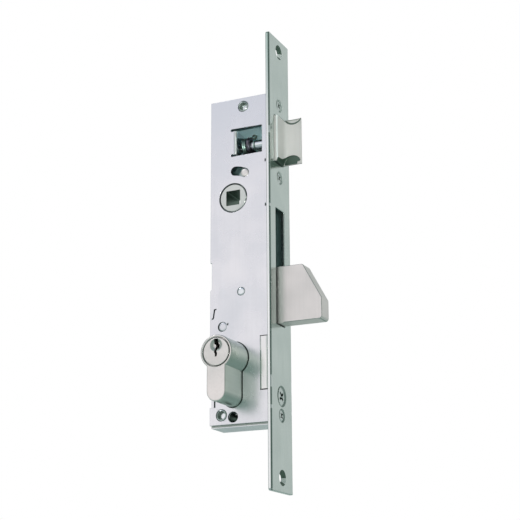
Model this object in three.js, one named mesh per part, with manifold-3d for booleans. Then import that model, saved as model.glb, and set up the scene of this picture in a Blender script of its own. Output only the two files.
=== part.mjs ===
// Narrow-stile mortise lock: a swinging bolt, a sprung latch and a euro profile cylinder.
// Millimetres. +X leaves the forend's front face, +Y goes through the case's thickness, +Z is up.
// Origin: forend front face, height of the spindle, middle of the case.
import * as THREE from "three";
import { mergeVertices } from "three/addons/utils/BufferGeometryUtils.js";
import Module from "manifold-3d";

// ---------- driving dimensions ----------
const GAP = 0.3;                                  // room left between pieces that touch
const FOREND = { halfWidth: 12.75, thick: 2, top: 88, bottom: -152, corner: 1.2 };
const CASE = { half: 8, sheet: 1.5, back: -36, top: 54.8, bottom: -119.1, coverBottom: -117.9 };
const BACKSET = -23;                              // x of the spindle and the cylinder
const SPINDLE = 8;                                // square socket
const HUB = { radius: 7.5, holeRadius: 7.8 };
const CYLINDER = { z: -85, radius: 8.5, halfWidth: 5, drop: 24.5, half: 27, camGap: 5.2 };
const PLUG = { radius: 6.3, bore: 6.6, headRadius: 7, headBore: 7.3, headThick: 1.2 };
const CAM = { collar: 8.2, knobOrbit: 10.6, knob: 2.3, half: 4.8, startAngle: 27.85 };
const CAM_NECK = { half: 1.6, from: 5 };
const LATCH = { z: 30, height: 25.2, near: -6.1, far: 4.4, reach: 10.8, tail: -7 };
const LATCH_HOLLOW = { lip: 1.5, root: [1.7, -0.8], bend: [2, 2.7], end: [5.6, 2.9], tipNear: 3.4 };
const UPPER_SCOOP = { x: 6.4, above: 2.3, radius: 5.4, floor: 3.55 };
const LOWER_SCOOP = { x: 6, above: 0.1, radius: 4.9, floor: 3.55 };
const ROD = { radius: 2.75, back: -23.2, collarRadius: 4.9, collarFront: -14.6, collarThick: 1.4 };
const ROD_END = { radius: 1.6, socketRadius: 1.9, length: 4.4, socketDepth: 5 };
const ROD_GROOVE = { x: [-13.9, -13.1], radius: 2.1 };
const CLIP = { x: [-13.75, -13.25], radius: 3.4, hole: 2.4, mouthHalf: 1.6 };
const LATCH_SPRING = { wire: 0.5, radius: 4.1, turns: 5 };
const ARM = { angle: 19.2, reach: 31.4, halfWidth: 1.5, half: 5.1, straight: 4, flange: 10 };
const FINGER = { near: 3.6, from: 22.65 };        // the arm's end, beyond the latch rod
const STOP_PIN = { x: -16.5, z: 13, radius: 2.05, stem: 1.3, hole: 1.6, boss: 2.9, stemEnd: -2 };
const ARC_SLOT = { radius: 14.53, half: 2.45, from: 63.4, to: 85.4 };
const BOLT = { x: -18.5, z: -50.6, near: -4.5, far: 4.7, innerFar: 2.8, top: -39.2, bottom: -68.3, tip: 24 };
const BOLT_EDGE = { corner: 1.2, tipTop: -57.6, shoulder: 13.8, heel: -21.1, hubEnd: 252 };
const BOLT_STEPS = { innerTo: -4.4, frontTo: 3.3, frontDepth: 0.35 };
const BOLT_PIN = { radius: 2, hubRadius: 10.4 };  // the pivot
const DRIVE_PIN = { orbit: 7, angle: 225, radius: 1.75, stem: 1.15, hole: 1.45 };
const BOLT_SLOT = { top: -7.6, bottom: -68.8, near: -5.5, far: 5.1 };
const DRIVER = { near: 3.3, far: 5.8, travel: 9.9, left: -33.2, right: -13.4 };
const DRIVER_BAND = { top: -60.6, bottom: -71 };  // the driver's straight middle part
const PIN_FORK = { outer: 4.7, inner: 2.05, top: -54.1, floor: -59.9 };
const KNOB_FORK = { outer: 5.2, inner: 2.6, bottom: -75.9, roof: -71.8 };
const DRIVER_GUIDES = [-63.2, -68.1];             // heights of the driver's two guide studs
const GUIDE = { x: -18.3, slotHalf: 1.75, pin: 1.45 };
const POSTS = { top_post: [-17.2, 50], bottom_post: [-29.4, -113.1] };
const POST = { radius: 2.8, recess: 2.1, recessDepth: 2.2 };
const DETENT_POST = { x: -28.7, z: -68, radius: 2.2, near: -8.1, far: -2.4 };
const DETENT_SPRING = { y: [-5.9, -2.8], collar: 3.4, leg: 1 };
const LOWER_HOLE = { x: -23, z: -114.4, radius: 2.7 };
const SMALL_SCREWS = { forend_screw_top: 50, forend_screw_middle: 9.8, forend_screw_bottom: -114.3 };
const SMALL_SCREW = { head: 3.1, shank: 1.6, tapped: 1.95, length: 8, sinkDepth: 1.75 };
const CYLINDER_SCREW = { z: -104.7, head: 4.9, shank: 2.4, length: 27.5, sinkDepth: 1.95 };
const RECESS = { depth: 1.3, reach: 0.5, half: 0.16 };  // cross recess; the last two are shares of the head
const FIXING_HOLES = [80.7, -144.8];              // wood screw holes in the forend
const FIXING_HOLE = { radius: 2.3, sink: 4, sinkDepth: 1.8 };
const PIN_STACKS = { count: 5, first: 8.6, pitch: 3.3, radius: 1.2, bore: 1.5 };
const PIN_BORE = { top: -1.4, bottom: -19 };      // below the cylinder's centre
const KEYWAY = { half: 0.6, low: -2.4, high: 5.7, ward: [-0.5, 1.5], wardHeights: [2, 3.4], start: 2 };
const WINDOW = { x: [-21.3, -6.4], z: [22.9, 37.9], relief: 0.9 };
const FLAP = { thick: 1.3, depth: 9.6, notchHalf: 5.2 };
const SIDE_NOTCH = { depth: 0.6, z: [-2, 19] };   // shallow notch in the cover's front edge
const BACK_NOTCHES = { shallow: 0.9, upper: [-47.6, -33.8], deep: 3.2, lower: [-109, -104.6] };
const SMALL_SLIT = { x: [-34.1, -33.3], z: [-63.6, -58.6] };
const STRIP = { x: [-7.6, -4.4], z: [-101.6, -75], rise: 0.45, slit: 0.5 };
const CAM_WINDOW = { half: 5.6, z: [-100, -70] };
const LUG_HALF = 3.2;                             // half height of the tray's screw lugs
const CASE_FRONT = -FOREND.thick - GAP;
const INNER = CASE.half - CASE.sheet;             // inside face of both side plates

// ---------- materials ----------
function paint(color, roughness, metalness = 0.9) {
  return new THREE.MeshStandardMaterial({ color, roughness, metalness });
}
const FINISH = {
  zinc: () => paint(0xd3d5de, 0.42),
  forend: () => paint(0xa9b2ae, 0.38),
  nickel: () => paint(0xcfc9c3, 0.33),
  steel: () => paint(0xb4b8bb, 0.35),
  dark: () => paint(0x6f7674, 0.5),
  brass: () => paint(0xb99a5c, 0.35),
  spring: () => paint(0x9aa09e, 0.3),
};

// ---------- solids ----------
const wasm = await Module();
wasm.setup();

function solid(geometry) {
  const bare = geometry.index ? geometry.clone() : geometry;
  for (const name of ["normal", "uv"]) bare.deleteAttribute(name);
  const merged = mergeVertices(bare, 1e-4);
  const vertProperties = new Float32Array(merged.attributes.position.array);
  const triVerts = new Uint32Array(merged.index.array);
  return new wasm.Manifold(new wasm.Mesh({ numProp: 3, vertProperties, triVerts }));
}

function geometryOf(manifold) {
  const mesh = manifold.getMesh();
  const geometry = new THREE.BufferGeometry();
  geometry.setAttribute("position", new THREE.Float32BufferAttribute(mesh.vertProperties, 3));
  geometry.setIndex(Array.from(mesh.triVerts));
  geometry.computeVertexNormals();
  return geometry;
}

const join = (...solids) => solids.reduce((whole, piece) => whole.add(piece));
const carve = (base, ...cuts) => cuts.reduce((whole, cut) => whole.subtract(cut), base);

function block([x0, x1], [y0, y1], [z0, z1]) {
  const box = new THREE.BoxGeometry(x1 - x0, y1 - y0, z1 - z0);
  box.translate((x0 + x1) / 2, (y0 + y1) / 2, (z0 + z1) / 2);
  return solid(box);
}

// Round bar along x, y or z: "at" is its centre on the other two axes, in x, y, z order.
function bar(axis, at, radius, [low, high], endRadius = radius, sides = 24) {
  const tube = new THREE.CylinderGeometry(endRadius, radius, high - low, sides);
  const middle = (low + high) / 2;
  if (axis === "x") tube.rotateZ(-Math.PI / 2).translate(middle, at[0], at[1]);
  if (axis === "y") tube.translate(at[0], middle, at[1]);
  if (axis === "z") tube.rotateX(Math.PI / 2).translate(at[0], at[1], middle);
  return solid(tube);
}

// Outline in x and z, extruded along y.
function sidePlate(shape, [low, high]) {
  const options = { depth: high - low, bevelEnabled: false, curveSegments: 12 };
  const plate = new THREE.ExtrudeGeometry(shape, options);
  plate.rotateX(Math.PI / 2).translate(0, high, 0);
  return solid(plate);
}

// Outline in x and y, extruded along z.
function floorPlate(shape, [low, high]) {
  const options = { depth: high - low, bevelEnabled: false, curveSegments: 12 };
  return solid(new THREE.ExtrudeGeometry(shape, options).translate(0, 0, low));
}

function outline(points) {
  return new THREE.Shape(points.map(([x, y]) => new THREE.Vector2(x, y)));
}

const radians = (degrees) => degrees * Math.PI / 180;

function onCircle([x, z], radius, degrees) {
  return [x + radius * Math.cos(radians(degrees)), z + radius * Math.sin(radians(degrees))];
}

// ---------- shapes that several pieces share ----------
// Euro profile: a round top and a straight foot with a rounded end, grown by a margin.
function euroShape(margin = 0) {
  const radius = CYLINDER.radius + margin;
  const half = CYLINDER.halfWidth + margin;
  const neck = Math.asin(Math.sqrt(radius ** 2 - half ** 2) / radius);
  const foot = CYLINDER.z - CYLINDER.drop + CYLINDER.halfWidth;
  const shape = new THREE.Shape();
  shape.absarc(BACKSET, CYLINDER.z, radius, -neck, Math.PI + neck, false);
  shape.lineTo(BACKSET - half, foot);
  shape.absarc(BACKSET, foot, half, Math.PI, 2 * Math.PI, false);
  shape.closePath();
  return shape;
}

// Arc-shaped slot round the spindle for the stop pin.
function arcSlotShape() {
  const shape = new THREE.Shape();
  const from = radians(ARC_SLOT.from);
  const to = radians(ARC_SLOT.to);
  const [startX, startZ] = onCircle([BACKSET, 0], ARC_SLOT.radius, ARC_SLOT.from);
  const [endX, endZ] = onCircle([BACKSET, 0], ARC_SLOT.radius, ARC_SLOT.to);
  shape.absarc(BACKSET, 0, ARC_SLOT.radius + ARC_SLOT.half, from, to, false);
  shape.absarc(endX, endZ, ARC_SLOT.half, to, to + Math.PI, false);
  shape.absarc(BACKSET, 0, ARC_SLOT.radius - ARC_SLOT.half, to, from, true);
  shape.absarc(startX, startZ, ARC_SLOT.half, from + Math.PI, from + 2 * Math.PI, false);
  return shape;
}

function throughCase(shape) {
  return sidePlate(shape, [-CASE.half - 1, CASE.half + 1]);
}

function sharedHoles() {
  const across = [-CASE.half - 1, CASE.half + 1];
  return [
    throughCase(euroShape(0.35)),
    bar("y", [BACKSET, 0], HUB.holeRadius, across, HUB.holeRadius, 40),
    bar("y", [BOLT.x, BOLT.z], BOLT_PIN.radius + GAP / 2, across),
    bar("y", [LOWER_HOLE.x, LOWER_HOLE.z], LOWER_HOLE.radius, across),
    ...Object.values(POSTS).map((at) => bar("y", at, POST.radius + GAP / 2, across)),
  ];
}

// ---------- forend ----------
function forend() {
  const { halfWidth, thick, top, bottom, corner } = FOREND;
  const shape = new THREE.Shape();
  shape.moveTo(-halfWidth + corner, bottom);
  shape.lineTo(halfWidth - corner, bottom);
  shape.absarc(halfWidth - corner, bottom + corner, corner, -Math.PI / 2, 0, false);
  shape.absarc(halfWidth - corner, top - corner, corner, 0, Math.PI / 2, false);
  shape.absarc(-halfWidth + corner, top - corner, corner, Math.PI / 2, Math.PI, false);
  shape.absarc(-halfWidth + corner, bottom + corner, corner, Math.PI, 1.5 * Math.PI, false);
  const plate = new THREE.ExtrudeGeometry(shape, { depth: thick, bevelEnabled: false, curveSegments: 4 });
  plate.applyMatrix4(new THREE.Matrix4().makeBasis(
    new THREE.Vector3(0, 1, 0), new THREE.Vector3(0, 0, 1), new THREE.Vector3(1, 0, 0)));
  plate.translate(-thick, 0, 0);
  const through = [-thick - 1, 1];
  const latchRoom = block(through, [LATCH.near - GAP, LATCH.far + GAP],
    [LATCH.z - LATCH.height / 2 - GAP, LATCH.z + LATCH.height / 2 + GAP]);
  const boltRoom = block(through, [BOLT_SLOT.near, BOLT_SLOT.far], [BOLT_SLOT.bottom, BOLT_SLOT.top]);
  return carve(solid(plate), latchRoom, boltRoom, ...forendHoles(through));
}

function forendHoles(through) {
  const holes = [];
  for (const z of FIXING_HOLES) {
    holes.push(bar("x", [0, z], FIXING_HOLE.radius, through));
    holes.push(bar("x", [0, z], FIXING_HOLE.radius, [-FIXING_HOLE.sinkDepth, 0.02], FIXING_HOLE.sink));
  }
  for (const z of Object.values(SMALL_SCREWS)) {
    holes.push(bar("x", [0, z], SMALL_SCREW.tapped, through));
    holes.push(bar("x", [0, z], SMALL_SCREW.tapped, [-SMALL_SCREW.sinkDepth, 0.02], SMALL_SCREW.head + GAP));
  }
  const { z, head, shank, sinkDepth } = CYLINDER_SCREW;
  holes.push(bar("x", [0, z], shank + GAP, through));
  holes.push(bar("x", [0, z], shank + GAP, [-sinkDepth, 0.02], head + GAP));
  return holes;
}

// ---------- case ----------
function coverShape() {
  const { back, top, coverBottom } = CASE;
  const [notchLow, notchHigh] = SIDE_NOTCH.z;
  const notchX = CASE_FRONT - SIDE_NOTCH.depth;
  const { shallow, upper, deep, lower } = BACK_NOTCHES;
  return outline([
    [CASE_FRONT, coverBottom], [CASE_FRONT, notchLow], [notchX, notchLow + SIDE_NOTCH.depth],
    [notchX, notchHigh - SIDE_NOTCH.depth], [CASE_FRONT, notchHigh], [CASE_FRONT, top], [back, top],
    [back, upper[1]], [back + shallow, upper[1]], [back + shallow, upper[0]], [back, upper[0] - shallow],
    [back, lower[1]], [back + deep, lower[1]], [back + deep, lower[0]], [back, lower[0]], [back, coverBottom],
  ]);
}

function windowCuts(across) {
  const { x, z, relief } = WINDOW;
  return [
    block(x, across, z),
    ...z.map((edge) => bar("y", [x[0] - relief / 2, edge], relief, across, relief, 14)),
  ];
}

// The window's back edge is a flap bent inward, notched for the latch rod and its spring.
function windowFlap() {
  const [low, high] = WINDOW.z;
  const x = [WINDOW.x[0] - FLAP.thick, WINDOW.x[0]];
  const y = [-CASE.half + 0.4, -CASE.half + FLAP.depth];
  const flap = block(x, y, [low + 0.9, high - 0.9]);
  const across = [x[0] - 1, x[1] + 1];
  const notch = bar("x", [0, LATCH.z], FLAP.notchHalf, across);
  const armRoom = block(across, [-FLAP.notchHalf - 0.3, CASE.half], [low, LATCH.z + 4]);
  return carve(flap, notch, armRoom);
}

function caseCover() {
  const across = [-CASE.half - 1, -INNER + 1];
  const plate = sidePlate(coverShape(), [-CASE.half, -INNER]);
  const slit = block(SMALL_SLIT.x, across, SMALL_SLIT.z);
  const markHole = bar("y", [DETENT_POST.x, DETENT_POST.z], DETENT_POST.radius + GAP / 2, across);
  const arc = sidePlate(arcSlotShape(), across);
  const open = carve(plate, ...sharedHoles(), ...windowCuts(across), slit, markHole, arc, stripSlits(across));
  return join(open, windowFlap(), lancedStrip());
}

// A strip lanced out of the cover, standing proud between two cross slits.
function stripSlits(across) {
  const [low, high] = STRIP.z;
  return join(
    block(STRIP.x, across, [high, high + STRIP.slit]),
    block(STRIP.x, across, [low - STRIP.slit, low]));
}

function lancedStrip() {
  return block(STRIP.x, [-CASE.half - STRIP.rise, -CASE.half + 0.5], STRIP.z);
}

function caseTray() {
  const { back, top, bottom, sheet, half } = CASE;
  const reach = [-INNER + GAP, half];
  const plate = block([back, CASE_FRONT], [INNER, half], [bottom, top]);
  const backWall = block([back, back + sheet], reach, [bottom, top]);
  const topWall = block([back, CASE_FRONT], reach, [top - sheet, top]);
  const bottomWall = block([back, CASE_FRONT], reach, [bottom, bottom + sheet]);
  const walls = join(plate, backWall, topWall, bottomWall, ...trayLugs(reach));
  const camWindow = block([back - 1, back + sheet + 0.1], [-CAM_WINDOW.half, CAM_WINDOW.half], CAM_WINDOW.z);
  return carve(walls, ...sharedHoles(), camWindow, ...trayLugHoles(), ...guideHoles());
}

function trayLugs(reach) {
  const front = [CASE_FRONT - CASE.sheet, CASE_FRONT];
  return Object.values(SMALL_SCREWS).map((z) => block(front, reach, [z - LUG_HALF, z + LUG_HALF]));
}

function trayLugHoles() {
  const through = [CASE_FRONT - CASE.sheet - 1, CASE_FRONT + 1];
  return Object.values(SMALL_SCREWS).map((z) => bar("x", [0, z], SMALL_SCREW.tapped, through));
}

function guideHoles() {
  return DRIVER_GUIDES.map((z) =>
    bar("y", [GUIDE.x, z], GUIDE.pin + GAP / 2, [INNER - 1, CASE.half + 1]));
}

// ---------- rivets, posts and studs ----------
// A semi-tubular rivet post: a shallow blind recess shows on the cover side.
function rivetPost([x, z]) {
  const body = bar("y", [x, z], POST.radius, [-CASE.half - 0.15, CASE.half]);
  const recess = bar("y", [x, z], POST.recess, [-CASE.half - 1, -CASE.half + POST.recessDepth]);
  return carve(body, recess);
}

const pivotPin = () => bar("y", [BOLT.x, BOLT.z], BOLT_PIN.radius, [-CASE.half - 0.15, CASE.half]);

function ring([x, z], [low, high], radius, hole, sides = 24) {
  return carve(bar("y", [x, z], radius, [low, high], radius, sides),
    bar("y", [x, z], hole, [low - 1, high + 1], hole, sides));
}

const pivotWasher = () => ring([BOLT.x, BOLT.z], [-INNER + GAP, BOLT.near - GAP], 4, BOLT_PIN.radius + GAP);
const pivotSpacer = () =>
  ring([BOLT.x, BOLT.z], [BOLT.innerFar + GAP, INNER - GAP], 3, BOLT_PIN.radius + GAP);
const guideStud = (z) => bar("y", [GUIDE.x, z], GUIDE.pin, [DRIVER.near - 0.2, CASE.half]);
const detentPost = () => bar("y", [DETENT_POST.x, DETENT_POST.z], DETENT_POST.radius,
  [DETENT_POST.near, DETENT_POST.far]);

// Flat-wound detent spring: a collar on its post and a leg that bears on the bolt's round hub.
function detentSpring() {
  const { y, collar, leg } = DETENT_SPRING;
  const { x, z, radius } = DETENT_POST;
  const legX = BOLT.x - BOLT_PIN.hubRadius - GAP;
  const coil = bar("y", [x, z], collar, y);
  const straight = block([legX - leg, legX], y, [z + 1, BOLT.z - 1]);
  const hole = bar("y", [x, z], radius + GAP, [y[0] - 1, y[1] + 1]);
  return carve(join(coil, straight), hole);
}

// ---------- screws ----------
// Countersunk screw along x with a cross recess; its head lies just below the forend's face.
function forendScrew(z, headRadius, shankRadius, length) {
  const headDepth = Math.min(headRadius - shankRadius, FOREND.thick - GAP);
  const top = -0.1;
  const head = bar("x", [0, z], shankRadius, [top - headDepth, top], headRadius);
  const shank = bar("x", [0, z], shankRadius, [-length, -headDepth]);
  const arm = RECESS.reach * headRadius;
  const half = RECESS.half * headRadius;
  const crossCuts = [
    block([-RECESS.depth, 1], [-arm, arm], [z - half, z + half]),
    block([-RECESS.depth, 1], [-half, half], [z - arm, z + arm]),
  ];
  return carve(join(head, shank), ...crossCuts);
}

// ---------- latch ----------
// Seen from above: a thick root that fills the opening and a thin striking plate on the far side,
// joined by a hollow curve.
function latchHeadShape() {
  const { near, far, reach, tail } = LATCH;
  const { lip, root, bend, end, tipNear } = LATCH_HOLLOW;
  const shape = new THREE.Shape();
  shape.moveTo(tail, near);
  shape.lineTo(lip, near);
  shape.lineTo(...root);
  shape.quadraticCurveTo(...bend, ...end);
  shape.lineTo(reach, tipNear);
  shape.lineTo(reach, far);
  shape.lineTo(tail, far);
  shape.closePath();
  return shape;
}

function latchHead() {
  const low = LATCH.z - LATCH.height / 2;
  const high = LATCH.z + LATCH.height / 2;
  const head = floorPlate(latchHeadShape(), [low, high]);
  const scoop = ({ x, above, radius, floor }, z) =>
    bar("y", [x, z + above], radius, [-9, floor], radius, 36);
  const { socketRadius, socketDepth } = ROD_END;
  const socket = bar("x", [0, LATCH.z], socketRadius, [LATCH.tail - 1, LATCH.tail + socketDepth]);
  return carve(head, scoop(UPPER_SCOOP, high), scoop(LOWER_SCOOP, low), socket);
}

function latchRod() {
  const { radius, back } = ROD;
  const body = bar("x", [0, LATCH.z], radius, [back, LATCH.tail - GAP]);
  const end = bar("x", [0, LATCH.z], ROD_END.radius, [LATCH.tail - 1, LATCH.tail + ROD_END.length]);
  const groove = rodRing(ROD_GROOVE.x, radius + 1, ROD_GROOVE.radius);
  return carve(join(body, end), groove);
}

function rodRing([low, high], radius, hole) {
  return carve(bar("x", [0, LATCH.z], radius, [low, high]),
    bar("x", [0, LATCH.z], hole, [low - 1, high + 1]));
}

const rodCollar = () => rodRing([ROD.collarFront - ROD.collarThick, ROD.collarFront],
  ROD.collarRadius, ROD.radius + GAP);

// Open retaining clip in the rod's groove, just in front of the collar.
function rodClip() {
  const clip = rodRing(CLIP.x, CLIP.radius, CLIP.hole);
  const mouth = block([CLIP.x[0] - 1, CLIP.x[1] + 1], [-CLIP.mouthHalf, CLIP.mouthHalf],
    [LATCH.z - CLIP.radius - 1, LATCH.z]);
  return carve(clip, mouth);
}

class Helix extends THREE.Curve {
  constructor(radius, turns, low, high) {
    super();
    Object.assign(this, { radius, turns, low, high });
  }
  getPoint(t, target = new THREE.Vector3()) {
    const angle = 2 * Math.PI * this.turns * t;
    return target.set(this.low + (this.high - this.low) * t,
      this.radius * Math.cos(angle), this.radius * Math.sin(angle));
  }
}

function latchSpring() {
  const { wire, radius, turns } = LATCH_SPRING;
  const low = CASE.back + CASE.sheet + wire + GAP;
  const high = ROD.collarFront - ROD.collarThick - wire - GAP;
  const section = new THREE.Shape();
  section.absarc(0, 0, wire, 0, 2 * Math.PI, false);
  const extrudePath = new Helix(radius, turns, low, high);
  const options = { steps: turns * 18, extrudePath, curveSegments: 3, bevelEnabled: false };
  return solid(new THREE.ExtrudeGeometry(section, options).translate(0, 0, LATCH.z));
}

// ---------- follower ----------
// A round hub with a square socket. Its arm narrows to one finger, which passes behind the latch
// rod and pulls the rod's collar.
function follower() {
  const hub = bar("y", [BACKSET, 0], HUB.radius, [-CASE.half + 0.1, CASE.half - 0.1], HUB.radius, 40);
  const flange = bar("y", [BACKSET, 0], ARM.flange, [-ARM.half, ARM.half], ARM.flange, 40);
  const arm = join(armBar(), bar("y", armTip(), ARM.halfWidth, [-ARM.half, ARM.half]));
  const rodRoom = block([-30, 0], [-ARM.half - 1, FINGER.near], [FINGER.from, 60]);
  const socket = block([BACKSET - SPINDLE / 2, BACKSET + SPINDLE / 2],
    [-CASE.half - 1, CASE.half + 1], [-SPINDLE / 2, SPINDLE / 2]);
  const at = [STOP_PIN.x, STOP_PIN.z];
  const pinHole = bar("y", at, STOP_PIN.hole, [-ARM.half - 1, STOP_PIN.stemEnd + 0.4]);
  const pinBoss = bar("y", at, STOP_PIN.boss, [-ARM.half, ARM.half]);
  return carve(join(hub, flange, carve(arm, rodRoom), pinBoss), socket, pinHole);
}

const armTip = () => onCircle([BACKSET, 0], ARM.reach, 90 - ARM.angle);

function armBar() {
  const [tipX, tipZ] = armTip();
  const bendZ = tipZ - ARM.straight;
  return sidePlate(outline([
    [BACKSET + 7, 2], [tipX + 2.6, bendZ - 2], [tipX + ARM.halfWidth, tipZ],
    [tipX - ARM.halfWidth, tipZ], [tipX - ARM.halfWidth, bendZ], [BACKSET, 9],
  ]), [-ARM.half, ARM.half]);
}

function stopPin() {
  const at = [STOP_PIN.x, STOP_PIN.z];
  const head = bar("y", at, STOP_PIN.radius, [-CASE.half + 0.2, -ARM.half - GAP]);
  const stem = bar("y", at, STOP_PIN.stem, [-ARM.half - 1, STOP_PIN.stemEnd]);
  return join(head, stem);
}

// ---------- swinging bolt ----------
function boltShape() {
  const { x, z, top, bottom, tip } = BOLT;
  const { corner, tipTop, shoulder, heel, hubEnd } = BOLT_EDGE;
  const shape = new THREE.Shape();
  shape.moveTo(heel, bottom);
  shape.lineTo(tip - corner, bottom);
  shape.lineTo(tip, bottom + corner);
  shape.lineTo(tip, tipTop);
  shape.lineTo(shoulder, top);
  shape.lineTo(x, top);
  shape.absarc(x, z, BOLT_PIN.hubRadius, Math.PI / 2, radians(hubEnd), false);
  shape.closePath();
  return shape;
}

function swingBolt() {
  const whole = sidePlate(boltShape(), [BOLT.near, BOLT.far]);
  const { innerTo, frontTo, frontDepth } = BOLT_STEPS;
  const heights = [BOLT.bottom - 1, BOLT.top + 1];
  const innerStep = block([-40, innerTo], [BOLT.innerFar, BOLT.far + 1], heights);
  const frontStep = block([-40, frontTo], [BOLT.near - 1, BOLT.near + frontDepth], heights);
  const pivot = bar("y", [BOLT.x, BOLT.z], BOLT_PIN.radius + GAP, [-9, 9]);
  const pinHole = bar("y", drivePinAt(), DRIVE_PIN.hole, [-1, 9]);
  return carve(whole, innerStep, frontStep, pivot, pinHole);
}

const drivePinAt = () => onCircle([BOLT.x, BOLT.z], DRIVE_PIN.orbit, DRIVE_PIN.angle);

function boltDrivePin() {
  const at = drivePinAt();
  const head = bar("y", at, DRIVE_PIN.radius, [BOLT.innerFar + GAP, DRIVER.far]);
  const stem = bar("y", at, DRIVE_PIN.stem, [-0.7, BOLT.innerFar + 1]);
  return join(head, stem);
}

// ---------- driver ----------
const camKnobX = () => BACKSET - CAM.knobOrbit * Math.sin(radians(CAM.startAngle));

function driverShape() {
  const [pinX] = drivePinAt();
  const knobX = camKnobX();
  const { left, right } = DRIVER;
  const { top, bottom } = DRIVER_BAND;
  const pin = PIN_FORK;
  const knob = KNOB_FORK;
  return outline([
    [left, top], [pinX - pin.outer, top], [pinX - pin.outer, pin.top], [pinX - pin.inner, pin.top],
    [pinX - pin.inner, pin.floor], [pinX + pin.inner, pin.floor], [pinX + pin.inner, pin.top],
    [pinX + pin.outer, pin.top], [pinX + pin.outer, top], [right, top], [right, bottom],
    [knobX + knob.outer, bottom], [knobX + knob.outer, knob.bottom], [knobX + knob.inner, knob.bottom],
    [knobX + knob.inner, knob.roof], [knobX - knob.inner, knob.roof], [knobX - knob.inner, knob.bottom],
    [knobX - knob.outer, knob.bottom], [knobX - knob.outer, bottom], [left, bottom],
  ]);
}

function driverPlate() {
  const y = [DRIVER.near, DRIVER.far];
  const cutY = [DRIVER.near - 1, DRIVER.far + 1];
  const half = GUIDE.slotHalf;
  const slots = DRIVER_GUIDES.map((z) =>
    block([GUIDE.x - DRIVER.travel - half, GUIDE.x + half], cutY, [z - half, z + half]));
  return carve(sidePlate(driverShape(), y), ...slots);
}

// ---------- euro cylinder ----------
function cylinderBody() {
  const { half, camGap, z } = CYLINDER;
  const profile = sidePlate(euroShape(), [-half, half]);
  const bore = bar("y", [BACKSET, z], PLUG.bore, [-half - 1, half + 1], PLUG.bore, 40);
  const headBores = [[-half - 1, -half + PLUG.headThick + GAP], [half - PLUG.headThick - GAP, half + 1]]
    .map((y) => bar("y", [BACKSET, z], PLUG.headBore, y, PLUG.headBore, 40));
  const roomRadius = CYLINDER.radius + 0.5;
  const camRoom = bar("y", [BACKSET, z], roomRadius, [-camGap, camGap], roomRadius, 40);
  const screwHole = bar("x", [0, CYLINDER_SCREW.z], CYLINDER_SCREW.shank + GAP, [-40, 0]);
  const chambers = pinStacks().map(({ y }) =>
    bar("z", [BACKSET, y], PIN_STACKS.bore, [z + PIN_BORE.bottom, z - PLUG.radius + 1], PIN_STACKS.bore, 14));
  return carve(profile, bore, ...headBores, camRoom, screwHole, ...chambers);
}

// Five pin stacks in each half, counted outward from the cam.
function pinStacks() {
  const stacks = [];
  for (const [side, sign] of [["outer", -1], ["inner", 1]]) {
    for (let i = 0; i < PIN_STACKS.count; i += 1) {
      stacks.push({ side, number: i + 1, y: sign * (PIN_STACKS.first + i * PIN_STACKS.pitch) });
    }
  }
  return stacks;
}

function plug(side) {
  const sign = side === "outer" ? -1 : 1;
  const { z, half, camGap } = CYLINDER;
  const { radius, headRadius, headThick } = PLUG;
  const span = (a, b) => [Math.min(sign * a, sign * b), Math.max(sign * a, sign * b)];
  const barrel = bar("y", [BACKSET, z], radius, span(camGap + GAP, half - 0.4), radius, 40);
  const head = bar("y", [BACKSET, z], headRadius, span(half - headThick, half), headRadius, 40);
  const along = span(camGap + KEYWAY.start, half + 1);
  const keyway = join(
    block([BACKSET - KEYWAY.half, BACKSET + KEYWAY.half], along, [z + KEYWAY.low, z + KEYWAY.high]),
    block(KEYWAY.ward.map((x) => BACKSET + x), along, KEYWAY.wardHeights.map((height) => z + height)));
  const bores = pinStacks().filter((stack) => stack.side === side).map(({ y }) =>
    bar("z", [BACKSET, y], PIN_STACKS.bore, [z - radius - 1, z + PIN_BORE.top], PIN_STACKS.bore, 14));
  return carve(join(barrel, head), keyway, ...bores);
}

const keyPin = (y) => bar("z", [BACKSET, y], PIN_STACKS.radius,
  [CYLINDER.z - PLUG.radius + 0.25, CYLINDER.z - 2.6], PIN_STACKS.radius, 12);
const driverPin = (y) => bar("z", [BACKSET, y], PIN_STACKS.radius,
  [CYLINDER.z - 12.5, CYLINDER.z - PLUG.bore - 0.15], PIN_STACKS.radius, 12);

function cam() {
  const { collar, half, knob, knobOrbit, startAngle } = CAM;
  const centre = [BACKSET, CYLINDER.z];
  const [knobX, knobZ] = onCircle(centre, knobOrbit, 90 + startAngle);
  const disc = bar("y", centre, collar, [-half, half], collar, 40);
  const knobBar = bar("y", [knobX, knobZ], knob, [-half, half]);
  const neckFoot = CYLINDER.z + CAM_NECK.from;
  const neck = sidePlate(outline([
    [BACKSET - CAM_NECK.half, neckFoot], [BACKSET + CAM_NECK.half, neckFoot],
    [knobX + CAM_NECK.half, knobZ], [knobX - CAM_NECK.half, knobZ],
  ]), [-half, half]);
  return join(disc, neck, knobBar);
}

// ---------- assembly ----------
const lock = new THREE.Group();

function place(name, manifold, finish) {
  const mesh = new THREE.Mesh(geometryOf(manifold), FINISH[finish]());
  mesh.name = name;
  lock.add(mesh);
}

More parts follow.
